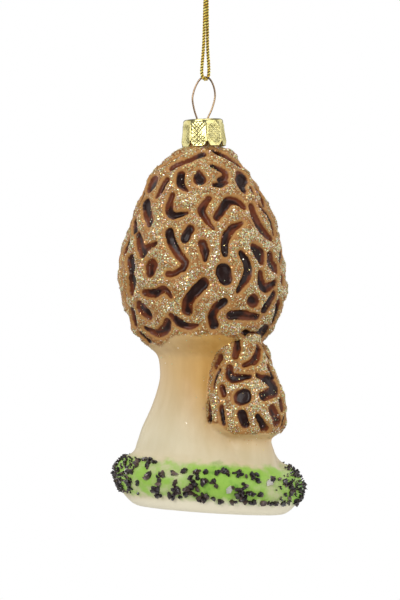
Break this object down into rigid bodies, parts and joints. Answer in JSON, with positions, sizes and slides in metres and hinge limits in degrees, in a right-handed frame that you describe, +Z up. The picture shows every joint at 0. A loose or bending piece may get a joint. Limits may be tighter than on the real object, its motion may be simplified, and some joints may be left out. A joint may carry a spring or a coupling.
{
  "type": "blown glass morel ornament",
  "caption": "Blown glass tree ornament shaped as a large and a small morel on a mossy foot, with a crown cap, wire ring and thread.",
  "frame": {"origin": "underside of the wire ring's crest, where the thread or a hook bears", "axes": "+Z up as it hangs, -Y towards the front, where the small morel stands, +X to the right seen from the front"},
  "size_m": [0.0602, 0.0486, 0.1647],
  "materials": {
    "painted_glass": "painted inside and out, lacquered, glittered ridges",
    "glass_grit": "dark brown coarse glass grit, glued on",
    "gold_cap": "gold anodised, stamped",
    "plated_wire": "bright plated spring wire",
    "metallic_thread": "twisted gold lurex"
  },
  "bodies": {
    "root": {"glass_body": "painted_glass", "grit_band": "glass_grit", "metal_cap": "gold_cap", "hanger_wire": "plated_wire", "hanging_thread": "metallic_thread", "thread_knot": "metallic_thread"}
  },
  "joints": []
}
